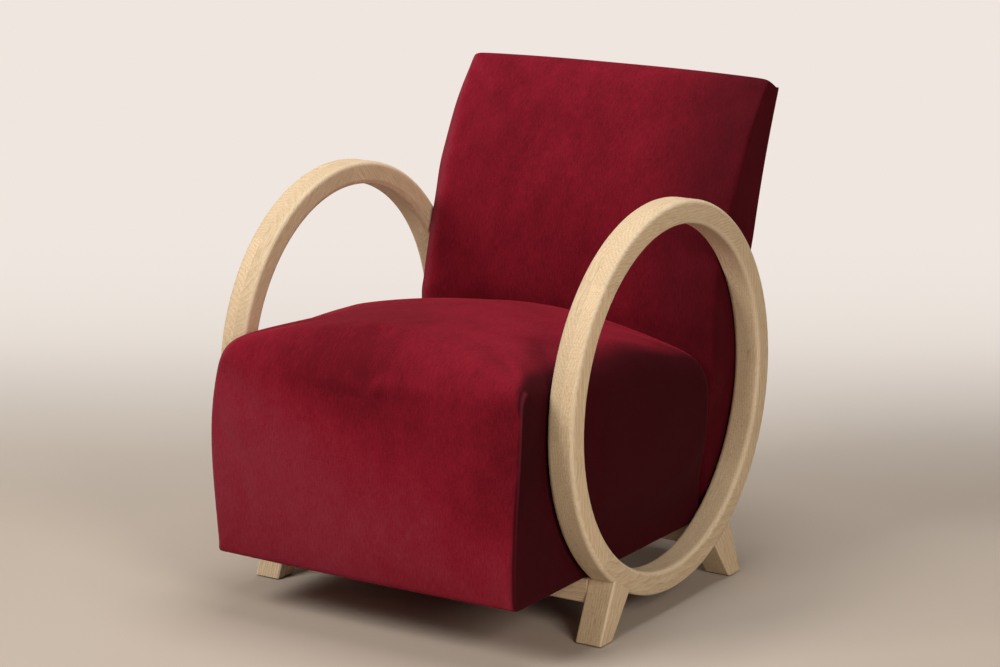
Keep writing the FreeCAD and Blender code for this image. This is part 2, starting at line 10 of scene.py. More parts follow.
# %% Load the frame
import json
import math
import bpy
import numpy as np
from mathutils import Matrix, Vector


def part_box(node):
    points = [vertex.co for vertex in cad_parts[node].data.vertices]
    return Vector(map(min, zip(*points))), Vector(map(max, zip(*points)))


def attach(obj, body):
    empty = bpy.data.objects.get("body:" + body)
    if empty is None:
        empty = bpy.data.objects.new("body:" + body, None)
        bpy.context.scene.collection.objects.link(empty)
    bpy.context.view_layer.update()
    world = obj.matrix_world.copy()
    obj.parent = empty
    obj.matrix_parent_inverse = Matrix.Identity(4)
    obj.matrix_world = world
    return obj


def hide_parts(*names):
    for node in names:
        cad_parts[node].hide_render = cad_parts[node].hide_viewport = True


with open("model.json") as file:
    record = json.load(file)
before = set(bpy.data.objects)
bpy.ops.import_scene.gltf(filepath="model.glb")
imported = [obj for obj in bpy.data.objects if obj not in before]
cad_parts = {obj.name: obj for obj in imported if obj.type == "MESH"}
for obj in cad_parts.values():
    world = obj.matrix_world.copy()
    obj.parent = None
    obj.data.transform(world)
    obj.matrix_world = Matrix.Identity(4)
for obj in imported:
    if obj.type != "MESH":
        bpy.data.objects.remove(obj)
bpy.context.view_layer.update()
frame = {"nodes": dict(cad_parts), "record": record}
nodes = frame["nodes"]
MM = 0.001

# %% [markdown]
# ## Two small tools for materials
#
# Colours are written as the hex values that a paint or cloth card would show, and one function
# turns them into the linear numbers that the shader wants. Another adds a node, with its
# settings and whatever feeds it, so that each material below reads as a short list.

# %% Material tools
def colour(hex_value):
    """An sRGB hex value as linear red, green, blue and alpha."""
    parts = [int(hex_value[n:n + 2], 16) / 255 for n in (0, 2, 4)]
    return [c / 12.92 if c <= 0.04045 else ((c + 0.055) / 1.055) ** 2.4 for c in parts] + [1.0]


def add(tree, kind, feeds=None, **settings):
    """Add a node with its settings. feeds gives each input by name or number, as a value or a socket."""
    made = tree.nodes.new("ShaderNode" + kind)
    for name, value in settings.items():
        setattr(made, name, value)
    for key, value in (feeds or {}).items():
        if isinstance(value, bpy.types.NodeSocket):
            tree.links.new(value, made.inputs[key])
        else:
            made.inputs[key].default_value = value
    return made


def new_material(name):
    """An empty material with its Principled shader: the material, its tree and the shader."""
    material = bpy.data.materials.new(name)
    material.use_nodes = True
    tree = material.node_tree
    return material, tree, tree.nodes["Principled BSDF"]


print("mid grey as linear:", round(colour("808080")[0], 3))

# %% [markdown]
# ## Limed oak
#
# The arms are oak with a liming finish: white paste is rubbed into the open pores and wiped off
# the harder wood. The eye sees pale tan wood with soft growth rings and cream flecks along the
# grain, and the softened arris is given a painted cream highlight. Wood is a solid pattern,
# so it is drawn in space and cut by the surface: long flecks on a face along the grain, dots and
# short ticks where a curved rim cuts across it. Each ring is glued from segments, so every
# segment is its own board, with its grain along its own chord and its own place in the log.

# %% Limed oak
GROWTH_RING = 4.2 * MM
PORE_WIDTH = 1.1 * MM
PORE_LENGTH = 34 * MM
BLOTCH = 70 * MM
TICK_WIDTH = 1.3 * MM
TICK_LENGTH = 14 * MM
BEND_LENGTH = 90 * MM
BEND_DEPTH = 14 * MM
RING_DRAWN_OUT = 9
WAVE_PERIOD = 2 * math.pi / 20


def limed_oak(name, turn, log_place, tone):
    """One oak board. turn lays its grain along Y, log_place is where it lay in the log, tone its shade."""
    material, tree, shader = new_material(name)
    place = add(tree, "TexCoord").outputs["Object"]
    board = add(tree, "Mapping", {"Vector": place, "Rotation": turn, "Location": log_place}).outputs[0]

    bend = add(tree, "TexNoise", {"Vector": board, "Scale": 1 / BEND_LENGTH, "Detail": 2.0}).outputs["Color"]
    bend = add(tree, "VectorMath", {0: bend, 1: (0.5, 0.5, 0.5)}, operation="SUBTRACT").outputs[0]
    bend = add(tree, "VectorMath", {0: bend, "Scale": BEND_DEPTH}, operation="SCALE").outputs[0]
    bent = add(tree, "VectorMath", {0: board, 1: bend}, operation="ADD").outputs[0]
    per_ring = WAVE_PERIOD / GROWTH_RING
    ring_scale = (per_ring, per_ring / RING_DRAWN_OUT, per_ring)
    rings_in = add(tree, "Mapping", {"Vector": bent, "Scale": ring_scale}).outputs[0]
    rings = add(tree, "TexWave", {"Vector": rings_in, "Scale": 1.0, "Distortion": 1.6,
                                  "Detail": 2.0, "Detail Scale": 0.7},
                wave_type="RINGS", rings_direction="Y", wave_profile="SAW").outputs["Fac"]

    pore_scale = (1 / PORE_WIDTH, 1 / PORE_LENGTH, 1 / PORE_WIDTH)
    pores_in = add(tree, "Mapping", {"Vector": bent, "Scale": pore_scale}).outputs[0]
    pores = add(tree, "TexNoise", {"Vector": pores_in, "Scale": 1.0, "Detail": 3.0, "Roughness": 0.6})
    pores = pores.outputs["Fac"]
    lime = add(tree, "MapRange", {"Value": pores, "From Min": 0.52, "From Max": 0.68, "To Max": 0.65})
    dark = add(tree, "MapRange", {"Value": pores, "From Min": 0.44, "From Max": 0.30})
    blotch = add(tree, "TexNoise", {"Vector": board, "Scale": 1 / BLOTCH, "Detail": 3.0}).outputs["Fac"]
    tick_scale = (1 / TICK_LENGTH, 1 / TICK_WIDTH, 0.3 / TICK_WIDTH)
    ticks_in = add(tree, "Mapping", {"Vector": bent, "Scale": tick_scale}).outputs[0]
    ticks = add(tree, "TexNoise", {"Vector": ticks_in, "Scale": 1.0, "Detail": 1.0}).outputs["Fac"]
    ticks = add(tree, "MapRange", {"Value": ticks, "From Min": 0.55, "From Max": 0.72, "To Max": 0.35})

    normal = add(tree, "NewGeometry").outputs["Normal"]
    facing = add(tree, "SeparateXYZ", {0: normal}).outputs["X"]
    on_face = add(tree, "Math", {0: facing, 1: facing}, operation="MULTIPLY").outputs[0]
    on_rim = add(tree, "Math", {0: 1.0, 1: on_face}, operation="SUBTRACT").outputs[0]
    # Painted highlight: where the normal turns between face and rim, on the rounded arris, the wood is mixed
    # towards cream (EFE4CE) as if lit.
    arris_highlight = add(tree, "Math", {0: on_face, 1: on_rim}, operation="MULTIPLY").outputs[0]
    arris_highlight = add(tree, "MapRange", {"Value": arris_highlight, "From Min": 0.05, "From Max": 0.25, "To Max": 0.32})

    blotch = add(tree, "MapRange", {"Value": blotch, "From Min": 0.35, "From Max": 0.7, "To Max": 0.45})
    ticked = add(tree, "Math", {0: ticks.outputs[0], 1: on_rim}, operation="MULTIPLY").outputs[0]
    wood = colour("DAC4A0")
    for share, tint in ((rings, "C7AD87"), (blotch.outputs[0], "CBB28F"), (dark.outputs[0], "B2966F"),
                        (lime.outputs[0], "E6D9C0"), (ticked, "B2966F"), (arris_highlight.outputs[0], "EFE4CE")):
        wood = add(tree, "Mix", {0: share, 6: wood, 7: colour(tint)}, data_type="RGBA").outputs[2]
    toned = add(tree, "HueSaturation", {"Value": tone, "Saturation": 0.89, "Color": wood}).outputs[0]
    tree.links.new(toned, shader.inputs["Base Color"])

    rough = add(tree, "MapRange", {"Value": pores, "To Min": 0.55, "To Max": 0.8}).outputs[0]
    tree.links.new(rough, shader.inputs["Roughness"])
    shader.inputs["IOR"].default_value = 1.45
    shader.inputs["Specular IOR Level"].default_value = 0.35
    relief = add(tree, "Bump", {"Height": pores, "Strength": 0.2, "Distance": 0.3 * MM})
    tree.links.new(relief.outputs[0], shader.inputs["Normal"])
    return material


# %% [markdown]
# ## One board for each oak piece
#
# A segment's grain runs along its chord. The middle of its mesh, seen from the ring's axis,
# gives that direction, so nothing has to be copied from the construction. Each board is cut from
# another place in the log, and those of the rings differ a little in tone.

# %% Oak pieces
def finish_node(name, material):
    """Give a piece of the frame its finish."""
    slots = nodes[name].data.materials
    slots.clear()
    slots.append(material)


def vertex_places(name):
    return np.array([v.co for v in nodes[name].data.vertices])


LOG_STEP = 0.37
FOOT_LEAN = math.radians(62)
oak_number = 0
for arm in ("left", "right"):
    names = [n for n in sorted(nodes) if n.startswith(arm + "_ring")]
    corners = np.array([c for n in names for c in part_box(n)])
    axis = (corners.min(0) + corners.max(0)) / 2
    reach = np.concatenate([vertex_places(n) for n in names]) - axis
    ring_hole = np.hypot(reach[:, 1], reach[:, 2]).min()
    ring_rim = np.hypot(reach[:, 1], reach[:, 2]).max()
    for name in names:
        along = vertex_places(name).mean(0) - axis
        chord = math.atan2(along[1], -along[2])
        log_place = (0.05 + 0.013 * oak_number, LOG_STEP * oak_number, 0.062 - 0.009 * (oak_number % 5))
        tone = 0.97 + 0.05 * math.sin(2.4 * oak_number)
        finish_node(name, limed_oak("limed_oak_" + name, (-chord, 0, 0), log_place, tone))
        oak_number += 1
for name in sorted(nodes):
    if name.endswith("_foot"):
        lean = FOOT_LEAN if name.startswith("rear") else math.pi - FOOT_LEAN
        log_place = (0.04, LOG_STEP * oak_number, 0.05)
        finish_node(name, limed_oak("limed_oak_" + name, (lean, 0, 0), log_place, 0.98))
        oak_number += 1
    if name.endswith("cross_rail"):
        log_place = (0.06, LOG_STEP * oak_number, 0.03)
        finish_node(name, limed_oak("limed_oak_" + name, (0, 0, math.pi / 2), log_place, 0.95))
        oak_number += 1
print(oak_number, "oak boards")

# %% [markdown]
# ## Finishes of the hidden pieces
#
# Under the covers are a beech frame, elastic webbing, hessian, foam, zinc-plated fastenings and
# felt glides. They are out of sight, so each gets a short material with the one pattern that
# its surface is known by.

# %% Hidden finishes
def plain_finish(name, light, shade, size, roughness, metallic=0.0, stretch=(1, 1, 1)):
    """A finish of two colours in a cloudy pattern of a real size, drawn out by stretch."""
    material, tree, shader = new_material(name)
    place = add(tree, "TexCoord").outputs["Object"]
    scale = [1 / (size * s) for s in stretch]
    drawn = add(tree, "Mapping", {"Vector": place, "Scale": scale}).outputs[0]
    cloud = add(tree, "TexNoise", {"Vector": drawn, "Scale": 1.0, "Detail": 4.0}).outputs["Fac"]
    tint = add(tree, "Mix", {0: cloud, 6: colour(light), 7: colour(shade)}, data_type="RGBA").outputs[2]
    tree.links.new(tint, shader.inputs["Base Color"])
    relief = add(tree, "Bump", {"Height": cloud, "Strength": 0.3, "Distance": size / 4})
    tree.links.new(relief.outputs[0], shader.inputs["Normal"])
    shader.inputs["Roughness"].default_value = roughness
    shader.inputs["Metallic"].default_value = metallic
    return material


hidden = {
    "beech_frame": plain_finish("planed_beech", "D9B98C", "B98F62", 2 * MM, 0.6, stretch=(12, 1, 1)),
    "foam": plain_finish("open_cell_foam", "EFE3BE", "D2C391", 1.2 * MM, 0.95),
    "webbing": plain_finish("elastic_webbing", "4A4038", "2B2520", 1.5 * MM, 0.9),
    "hessian": plain_finish("hessian", "B2925F", "856A41", 1.6 * MM, 0.95),
    "dust_cover": plain_finish("spunbond_cloth", "26231F", "131211", 1.0 * MM, 0.9),
    "felt": plain_finish("pressed_felt", "4A3F34", "2C251F", 0.8 * MM, 1.0),
    "zinc_steel": plain_finish("zinc_plated_steel", "C6C7C4", "9FA19F", 4 * MM, 0.35, metallic=1.0),
}
for part in frame["record"]["subparts"]:
    if part["material_slot"] in hidden:
        finish_node(part["node"], hidden[part["material_slot"]])
print(len(hidden), "hidden finishes")

# %% [markdown]
# ## Velvet
#
# The cover is a cotton velvet: a short cut pile that stands up from a woven ground. Looked at
# straight on, light sinks between the fibres and the colour is deep. Along the edge of a form
# the fibre tips catch the light, which is what the sheen of the shader does. A hand or a brush
# leaves the pile lying one way or another, so the shade drifts in soft patches, and the rows of
# the pile draw very fine lines along the cloth. The rows are drawn wider than the real 0.8 mm so
# that they show at the distance of the picture. A colour on the cover's vertices holds painted
# light: red lightens and greys the velvet (painted sheen, highlight, and patches of painted light
# and shade), green darkens it as painted shade, and blue is a painted highlight along the seams.

# %% Velvet
PILE_ROW = 2.6 * MM
PILE_STREAK = 13 * MM
NAP_PATCH = 95 * MM
NAP_STROKE = 24 * MM
TIP_SIZE = 2 * MM


def cotton_velvet(name):
    """Burgundy cut pile. The UV map is the flat cloth in metres, and the vertex colour holds painted light
    and shade.
    """
    material, tree, shader = new_material(name)
    cloth = add(tree, "UVMap", uv_map="cloth").outputs[0]
    place = add(tree, "TexCoord").outputs["Object"]
    patch = add(tree, "TexNoise", {"Vector": place, "Scale": 1 / NAP_PATCH, "Detail": 3.0, "Distortion": 0.6})
    strokes_in = add(tree, "Mapping", {"Vector": cloth, "Scale": (1 / NAP_STROKE, 0.4 / NAP_STROKE, 1)})
    stroke = add(tree, "TexNoise", {"Vector": strokes_in.outputs[0], "Scale": 1.0, "Detail": 4.0})
    rows_in = add(tree, "Mapping", {"Vector": cloth, "Scale": (1 / PILE_ROW, 1 / PILE_STREAK, 1)})
    rows = add(tree, "TexNoise", {"Vector": rows_in.outputs[0], "Scale": 1.0, "Detail": 3.0,
                                  "Roughness": 0.65})
    tips = add(tree, "TexNoise", {"Vector": place, "Scale": 1 / TIP_SIZE, "Detail": 2.0})

    # The vertex colour is painted light and shade: red lightens and is added to the random pile tone, green
    # darkens, blue is a painted seam highlight.
    painted_light_and_shade = add(tree, "Attribute", attribute_name="painted_light_and_shade").outputs["Color"]
    painted_channels = add(tree, "SeparateColor", {0: painted_light_and_shade}).outputs
    pile_tone_and_painted_light = painted_channels["Red"]
    for cause, weight in ((patch, 0.3), (stroke, 0.22), (rows, 0.5), (tips, 0.3)):
        feeds = {0: cause.outputs["Fac"], 1: weight, 2: pile_tone_and_painted_light}
        pile_tone_and_painted_light = add(tree, "Math", feeds, operation="MULTIPLY_ADD").outputs[0]
    lighter_share = add(tree, "MapRange", {"Value": pile_tone_and_painted_light, "From Min": 0.38, "From Max": 0.68}).outputs[0]
    greyer_share = add(tree, "MapRange", {"Value": pile_tone_and_painted_light, "From Min": 0.68, "From Max": 1.13}).outputs[0]
    pile = colour("5C0B19")
    # Green mixes towards painted shade (26040A), blue towards a painted seam highlight (8C3848).
    for share, tint in ((lighter_share, "7C1427"), (greyer_share, "863141"), (painted_channels["Green"], "26040A"),
                        (painted_channels["Blue"], "8C3848")):
        pile = add(tree, "Mix", {0: share, 6: pile, 7: colour(tint)}, data_type="RGBA").outputs[2]
    tree.links.new(pile, shader.inputs["Base Color"])
    shader.inputs["Roughness"].default_value = 0.9
    shader.inputs["Specular IOR Level"].default_value = 0.08
    shader.inputs["Sheen Weight"].default_value = 0.4
    shader.inputs["Sheen Roughness"].default_value = 0.2
    shader.inputs["Sheen Tint"].default_value = colour("B8344E")
    height = add(tree, "Math", {0: rows.outputs["Fac"], 1: tips.outputs["Fac"]}, operation="ADD").outputs[0]
    relief = add(tree, "Bump", {"Height": height, "Strength": 0.3, "Distance": 0.7 * MM})
    tree.links.new(relief.outputs[0], shader.inputs["Normal"])
    return material


velvet = cotton_velvet("cotton_velvet")
print("velvet with", len(velvet.node_tree.nodes), "nodes")

# %% [markdown]
# ## The outline of a padded form
#
# Seen from the side, the seat and the back are closed outlines of nearly straight edges with
# rounded corners. A loop of points follows such an outline. Each edge also says how far it bows
# out, how round its shoulder is where the cloth turns over to the side, and how much it crowns
# across the chair. These values glide from one edge to the next round every corner.

# %% Outlines
LOOP_STEP = 1 * MM
LOOP_SOFTNESS = 7


def dense_loop(corners):
    """Points round a closed outline with shoulder and crown at each, and the middle of every corner.

    A corner is (y, z, radius) with the edge that follows it: (bow, shoulder, crown).
    """
    places = [np.array(corner[:2]) for corner in corners]
    count = len(corners)
    arrive, leave = [], []
    for n, corner in enumerate(corners):
        back = places[n - 1] - places[n]
        on = places[(n + 1) % count] - places[n]
        back, on = back / np.linalg.norm(back), on / np.linalg.norm(on)
        opening = math.acos(np.clip(back @ on, -1, 1))
        setback = corner[2] / math.tan(opening / 2)
        arrive.append(places[n] + back * setback)
        leave.append(places[n] + on * setback)
    rows, middles = [], []
    for n, corner in enumerate(corners):
        before, after = np.array(corners[n - 1][4:]), np.array(corner[4:])
        turn = max(3, int(np.linalg.norm(leave[n] - arrive[n]) / LOOP_STEP))
        middles.append(len(rows) + turn // 2)
        for t in np.arange(turn) / turn:
            point = (1 - t) ** 2 * arrive[n] + 2 * t * (1 - t) * places[n] + t ** 2 * leave[n]
            rows.append((*point, *(before + (after - before) * t)))
        start, end = leave[n], arrive[(n + 1) % count]
        length = np.linalg.norm(end - start)
        out = np.array([-(end - start)[1], (end - start)[0]]) / length
        steps = max(2, int(length / LOOP_STEP))
        for t in np.arange(steps) / steps:
            rows.append((*(start + (end - start) * t + out * corner[3] * 4 * t * (1 - t)), *after))
    loop = np.array(rows)
    for _ in range(LOOP_SOFTNESS):
        loop = (np.roll(loop, 1, 0) + 2 * loop + np.roll(loop, -1, 0)) / 4
    return loop, middles


def spans_of(loop, middles, counts):
    """Walk the loop from corner to corner in even steps, counts steps for each span."""
    picked = []
    stops = list(middles) + [middles[0] + len(loop)]
    for first, last, count in zip(stops, stops[1:], counts):
        for share in np.arange(count) / count:
            place = first + (last - first) * share
            low = int(place)
            one, two = loop[low % len(loop)], loop[(low + 1) % len(loop)]
            picked.append(one + (two - one) * (place - low))
    return np.array(picked)


print("outline step", LOOP_STEP, "m")

# %% [markdown]
# ## From an outline to a cover
#
# The cover is one strip that goes round the outline, from side to side of the chair, and two
# side panels. The strip turns over its shoulder in a quarter circle to meet the panel, so a small
# shoulder gives a crisp corner and a large one a soft roll. The panels are filled with an even
# grid between their four edges. The UV map is the flat cloth: across the chair and along the
# strip, and upright on the side panels.

# %% Covers
SHOULDER_TURNS = 5


def cover_mesh(name, loop, counts, half_width, columns, spread=1, dome=3):
    """A closed cover round a loop: the object, and the vertex numbers of its strip by row and column.

    spread is how much wider than deep the shoulder is, dome how flat the middle of the crown is.
    """
    rows = len(loop)
    tangent = np.roll(loop[:, :2], -1, 0) - np.roll(loop[:, :2], 1, 0)
    tangent /= np.linalg.norm(tangent, axis=1)[:, None]
    out = np.stack([-tangent[:, 1], tangent[:, 0]], 1)
    shoulder, crown = loop[:, 2], loop[:, 3]
    turns = np.linspace(0, math.pi / 2, SHOULDER_TURNS + 1)
    across = np.linspace(-1, 1, columns)[1:-1]
    wide = spread * shoulder
    left = [(-half_width + wide * (1 - np.cos(t)), shoulder * (1 - np.sin(t))) for t in turns]
    middle = [(share * (half_width - wide), 0 * shoulder) for share in across]
    right = [(-x, inset) for x, inset in reversed(left)]
    strip = []
    for x, inset in left + middle + right:
        lift = crown * (1 - np.abs(x / half_width) ** dome) - inset
        flat = loop[:, :2] + out * lift[:, None]
        strip.append(np.stack([x, flat[:, 0], flat[:, 1]], 1))
    strip = np.stack(strip, 1)
    width = strip.shape[1]
    number = np.arange(rows * width).reshape(rows, width)
    places = [strip.reshape(-1, 3)]
    steps = np.linalg.norm(np.diff(loop[:, :2], axis=0, append=loop[:1, :2]), axis=1)
    walk = np.concatenate([[0], np.cumsum(steps)])
    faces, flat_cloth = [], []
    for i in range(rows):
        below = (i + 1) % rows
        for j in range(width - 1):
            faces.append((number[i, j], number[i, j + 1], number[below, j + 1], number[below, j]))
            x0, x1 = strip[i, j, 0], strip[i, j + 1, 0]
            flat_cloth += [(x0, walk[i]), (x1, walk[i]), (x1, walk[i + 1]), (x0, walk[i + 1])]
    up, along = counts[0], counts[1]
    for column in (0, width - 1):
        front = number[:up + 1, column]
        top = number[up:up + along + 1, column]
        rear = number[up + along:2 * up + along + 1, column][::-1]
        bottom = np.append(number[2 * up + along:, column], number[0, column])[::-1]
        grid = np.zeros((up + 1, along + 1), int)
        grid[:, 0], grid[:, -1], grid[0], grid[-1] = front, rear, bottom, top
        known = np.concatenate(places)
        ta, tb = np.meshgrid(np.arange(up + 1) / up, np.arange(along + 1) / along, indexing="ij")
        ta, tb = ta[..., None], tb[..., None]
        edge = (1 - tb) * known[front][:, None] + tb * known[rear][:, None]
        edge = edge + (1 - ta) * known[bottom][None] + ta * known[top][None]
        corner = (1 - ta) * ((1 - tb) * known[front[0]] + tb * known[rear[0]])
        corner = corner + ta * ((1 - tb) * known[front[-1]] + tb * known[rear[-1]])
        inside = (edge - corner)[1:-1, 1:-1].reshape(-1, 3)
        grid[1:-1, 1:-1] = len(known) + np.arange(len(inside)).reshape(up - 1, along - 1)
        places.append(inside)
        known = np.concatenate(places)
        for a in range(up):
            for b in range(along):
                face = [grid[a, b], grid[a, b + 1], grid[a + 1, b + 1], grid[a + 1, b]]
                face = face[::-1] if column == 0 else face
                faces.append(tuple(face))
                flat_cloth += [(known[v][1], known[v][2]) for v in face]
    mesh = bpy.data.meshes.new(name)
    mesh.from_pydata(np.concatenate(places).tolist(), [], [tuple(int(v) for v in face) for face in faces])
    cloth = mesh.uv_layers.new(name="cloth")
    cloth.data.foreach_set("uv", np.array(flat_cloth, np.float32).ravel())
    mesh.polygons.foreach_set("use_smooth", [True] * len(mesh.polygons))
    piece = bpy.data.objects.new(name, mesh)
    bpy.context.scene.collection.objects.link(piece)
    return piece, number


def places_of(piece):
    """The places of a piece's vertices, one row each."""
    flat = np.zeros(len(piece.data.vertices) * 3)
    piece.data.vertices.foreach_get("co", flat)
    return flat.reshape(-1, 3)


def put_places(piece, places):
    """Move a piece's vertices to new places."""
    piece.data.vertices.foreach_set("co", places.ravel())
    piece.data.update()


def smooth_step(value, low, high):
    """From 0 at low to 1 at high, easing in and out."""
    share = np.clip((value - low) / (high - low), 0, 1)
    return share * share * (3 - 2 * share)


print("shoulders in", SHOULDER_TURNS, "steps")

# %% [markdown]
# ## Foam under tight cloth
#
# Foam pushes the cover out everywhere except where it is held: at its seams, at its hem and
# where the arms press on it. Cloth with air pressure does the same. The held vertices are pinned,
# the rest swells for some frames, and the move is capped so that the cover keeps its size.

# %% Swelling
SWELL_FRAMES = 20


def swell(piece, held, pressure, cap):
    """Swell a cover as cloth over foam. held is a pin weight for each vertex, cap the longest move."""
    start = places_of(piece)
    group = piece.vertex_groups.new(name="held")
    for n, weight in enumerate(held):
        group.add([n], float(weight), "REPLACE")
    cloth = piece.modifiers.new("swell", "CLOTH")
    cloth.settings.vertex_group_mass = "held"
    cloth.settings.quality = 4
    cloth.settings.mass = 0.4
    cloth.settings.tension_stiffness = 40
    cloth.settings.compression_stiffness = 40
    cloth.settings.shear_stiffness = 20
    cloth.settings.bending_stiffness = 4
    cloth.settings.use_pressure = True
    cloth.settings.uniform_pressure_force = pressure
    cloth.settings.effector_weights.gravity = 0
    cloth.point_cache.frame_end = SWELL_FRAMES
    scene = bpy.context.scene
    for number in range(1, SWELL_FRAMES + 1):
        scene.frame_set(number)
    grown = piece.evaluated_get(bpy.context.evaluated_depsgraph_get())
    end = places_of(grown)
    piece.modifiers.remove(cloth)
    scene.frame_set(1)
    move = end - start
    length = np.linalg.norm(move, axis=1)[:, None] + 1e-9
    put_places(piece, start + move / length * cap * np.tanh(length / cap))
    print(piece.name, "swelled by up to", round(float(length.max() / MM), 1), "mm before the cap")


print("swelling over", SWELL_FRAMES, "frames")

# %% [markdown]
# ## Painted shade and highlight
#
# On the side away from the lamp the velvet is painted darker as painted shade, and along the
# shoulder that faces the lamp it is painted lighter as a painted highlight. Each cover takes both from the
# way its vertices face.

# %% Painted light and dressing
def side_facing(piece):
    """How far each vertex faces the chair's +X side: 1 where it faces straight there, -1 the other way."""
    facing = np.zeros(len(piece.data.vertices) * 3)
    piece.data.vertex_normals.foreach_get("vector", facing)
    return facing.reshape(-1, 3)[:, 0]


def painted_side_shade(piece, depth):
    """Painted shade: full on the +X side panel, away from the lamp, fading over the shoulder."""
    return depth * smooth_step(side_facing(piece), 0.1, 0.65)


def painted_edge_highlight(piece, lift):
    """A painted highlight along the -X shoulder, which faces the lamp."""
    facing = -side_facing(piece)
    return lift * smooth_step(facing, 0.04, 0.45) * (1 - 0.7 * smooth_step(facing, 0.8, 0.98))


def dress(piece, painted_light_and_shade, fill, *replaced):
    """Give a cover its velvet, its painted light and shade, and its place in the frame."""
    shade = piece.data.color_attributes.new("painted_light_and_shade", "FLOAT_COLOR", "POINT")
    shade.data.foreach_set("color", np.column_stack([painted_light_and_shade, np.ones(len(painted_light_and_shade))]).astype(np.float32).ravel())
    piece.data.materials.append(velvet)
    rounder = piece.modifiers.new("rounder", "SUBSURF")
    rounder.levels = rounder.render_levels = 1
    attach(piece, "root")
    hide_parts(*replaced)


print("nap in three channels")

# %% [markdown]
# ## The seat
#
# The seat is upholstered in one piece. The cloth falls from the top over a round nose to the
# hem, and rolls over the sides with no seam. Only the two front corners have a seam, a dart that
# runs up the corner and ends where the nose begins. The front corners stand a little proud at
# mid height, where no arm holds them in.

# %% Seat
seat_low, seat_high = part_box("seat_cover")
seat_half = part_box("back_cover")[1].x
COLUMNS = 72
HEM = 6 * MM
ARM_PRESS = 3 * MM
OUTWARD_POWER = 4
SEAT_REACH = 400 * MM
SEAT_FRONT_LEAN = math.tan(math.radians(2.5))
SEAT_FRONT_TOP = 452 * MM
SEAT_REAR_TOP = 424 * MM
SEAT_CROWN = 40 * MM
NOSE_ROUND = 46 * MM
NOSE_DROP = 4 * MM
REAR_DROP = 3 * MM
SEAT_COUNTS = (46, 76, 46, 76)
SIDE_ROLL = 28 * MM
ROLL_BEGINS, ROLL_FULL = 30 * MM, 260 * MM
ROLL_LOW, ROLL_HIGH = 190 * MM, 30 * MM
ROLL_LOST_AT_REAR = 0.8
REAR_FALL_START = 265 * MM
seat_front = axis[1] - SEAT_REACH
seat_nose_back = (SEAT_FRONT_TOP - seat_low.z) * SEAT_FRONT_LEAN
seat_corners = [
    (seat_front, seat_low.z, 7 * MM, 9 * MM, 10 * MM, 6 * MM),
    (seat_front + seat_nose_back, SEAT_FRONT_TOP - NOSE_DROP, NOSE_ROUND, 2 * MM, 24 * MM, SEAT_CROWN),
    (seat_high.y, SEAT_REAR_TOP - REAR_DROP, 80 * MM, 0, 26 * MM, 0),
    (seat_high.y, seat_low.z, 5 * MM, 0, 4 * MM, 0),
]
seat_loop = spans_of(*dense_loop(seat_corners), SEAT_COUNTS)
roll = smooth_step(seat_loop[:, 0], seat_front + ROLL_BEGINS, seat_front + ROLL_FULL)
roll *= smooth_step(seat_loop[:, 1], SEAT_REAR_TOP - ROLL_LOW, SEAT_REAR_TOP - ROLL_HIGH)
roll *= 1 - ROLL_LOST_AT_REAR * smooth_step(seat_loop[:, 0], seat_high.y - REAR_FALL_START, seat_high.y)
seat_loop[:, 2] += SIDE_ROLL * roll
seat, seat_strip = cover_mesh("velvet_seat", seat_loop, SEAT_COUNTS, seat_half, COLUMNS, dome=2)
print("seat cover with", len(seat.data.vertices), "vertices")

# %% [markdown]
# The front corners puff out, the sides bulge into the open middle of the rings, and the top falls
# to the rear, more so at the sides. Then the cover is held along its hem, at the rear, at the dart
# seams and where the arms press on it, and the foam swells it.

# %% Seat corners and swelling
CORNER_PUFF = 9 * MM
CORNER_FORWARD = 5.4 * MM
CORNER_REACH = 80 * MM
BELLY_RISE = 1.6
SIDE_BULGE = 20 * MM
BULGE_MARGIN = 6 * MM
BULGE_REACH = 130 * MM
REAR_FALL = 23 * MM
REAR_FALL_SIDES = 13 * MM
REAR_FALL_END = 30 * MM
FALL_FADE = 20 * MM
SEAM_HOLD = 0.9
SEAT_PRESSURE = 2.5
SEAT_SWELL = 9 * MM
places = places_of(seat)
height = (places[:, 2] - seat_low.z) / (SEAT_FRONT_TOP - seat_low.z)
forward = 1 - smooth_step(places[:, 1], seat_low.y, seat_low.y + CORNER_REACH)
outward = np.sign(places[:, 0]) * (np.abs(places[:, 0]) / seat_half) ** OUTWARD_POWER
belly = np.clip(np.sin(math.pi * np.clip(height, 0, 1) ** BELLY_RISE), 0, 1)
places[:, 0] += CORNER_PUFF * outward * forward * belly
places[:, 1] -= CORNER_FORWARD * np.abs(outward) * forward * belly
within = ring_hole - np.hypot(places[:, 1] - axis[1], places[:, 2] - axis[2])
bulge = smooth_step(within, BULGE_MARGIN, BULGE_REACH)
bulge *= smooth_step(places[:, 2], seat_low.z, seat_low.z + BULGE_REACH)
places[:, 0] += SIDE_BULGE * outward * bulge
fall = REAR_FALL + REAR_FALL_SIDES * (places[:, 0] / seat_half) ** 2
fall *= smooth_step(places[:, 1], seat_high.y - REAR_FALL_START, seat_high.y - REAR_FALL_END)
places[:, 2] -= fall * smooth_step(places[:, 2], seat_low.z + FALL_FADE, SEAT_REAR_TOP - FALL_FADE)
put_places(seat, places)

seam_rows = seat_strip[2:SEAT_COUNTS[0] + 2]
seam_columns = (SHOULDER_TURNS // 2, -1 - SHOULDER_TURNS // 2)
held = np.zeros(len(places))
held[places[:, 2] < seat_low.z + HEM] = 1.0
held[places[:, 1] > seat_high.y - HEM] = 1.0
for column in seam_columns:
    held[seam_rows[:, column]] = SEAM_HOLD
beside_arm = np.abs(places[:, 0]) > seat_half - ARM_PRESS
held[beside_arm & (places[:, 1] > seat_low.y + CORNER_REACH)] = 1.0
swell(seat, held, SEAT_PRESSURE, SEAT_SWELL)
